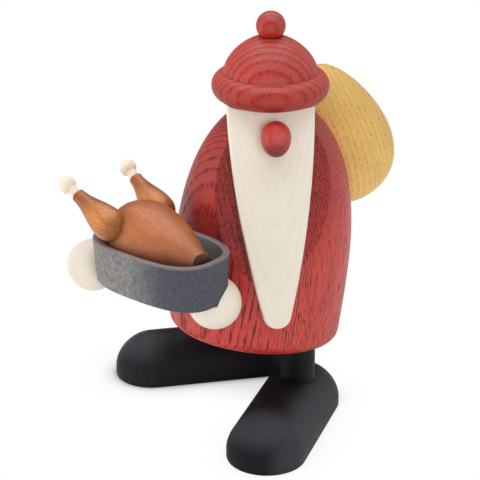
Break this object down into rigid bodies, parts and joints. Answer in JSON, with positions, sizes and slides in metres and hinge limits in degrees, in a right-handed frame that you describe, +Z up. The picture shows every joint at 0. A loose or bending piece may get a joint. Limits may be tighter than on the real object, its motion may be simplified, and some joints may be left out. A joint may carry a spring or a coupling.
{
  "type": "nisse figure",
  "caption": "Turned wooden nisse with a board beard and round hat, a sack on its back, carrying a roast goose in an oval pan.",
  "frame": {"origin": "on the floor, under the middle of the figure's overall box", "axes": "+Z up; the figure faces -Y and its left hand is on +X"},
  "size_m": [0.1376, 0.172, 0.1911],
  "materials": {
    "red_ash": "open-grained wood stained red, satin",
    "nose_red": "wood stained red, satin lacquer",
    "pale_maple": "fine pale wood, left natural, satin",
    "gold_ash": "open-grained wood with a golden stain, satin",
    "black_stain": "wood stained black, satin",
    "grey_stain": "wood stained blue-grey, matt",
    "roast_brown": "oiled reddish-brown wood, satin",
    "dowel_beech": "plain round dowel, unfinished"
  },
  "bodies": {
    "root": {"coat_body": "red_ash", "hat": "red_ash", "hat_bobble": "red_ash", "nose": "nose_red", "beard": "pale_maple", "left_hand": "pale_maple", "right_hand": "pale_maple", "left_leg_bone": "pale_maple", "right_leg_bone": "pale_maple", "sack": "gold_ash", "left_leg": "black_stain", "right_leg": "black_stain", "left_shoe": "black_stain", "right_shoe": "black_stain", "roasting_pan": "grey_stain", "goose_body": "roast_brown", "left_drumstick": "roast_brown", "right_drumstick": "roast_brown", "hat_dowel": "dowel_beech", "bobble_dowel": "dowel_beech", "nose_dowel": "dowel_beech", "sack_dowel": "dowel_beech", "pan_dowel": "dowel_beech", "left_hand_dowel": "dowel_beech", "right_hand_dowel": "dowel_beech", "goose_dowel": "dowel_beech", "left_drumstick_dowel": "dowel_beech", "right_drumstick_dowel": "dowel_beech"}
  },
  "joints": []
}
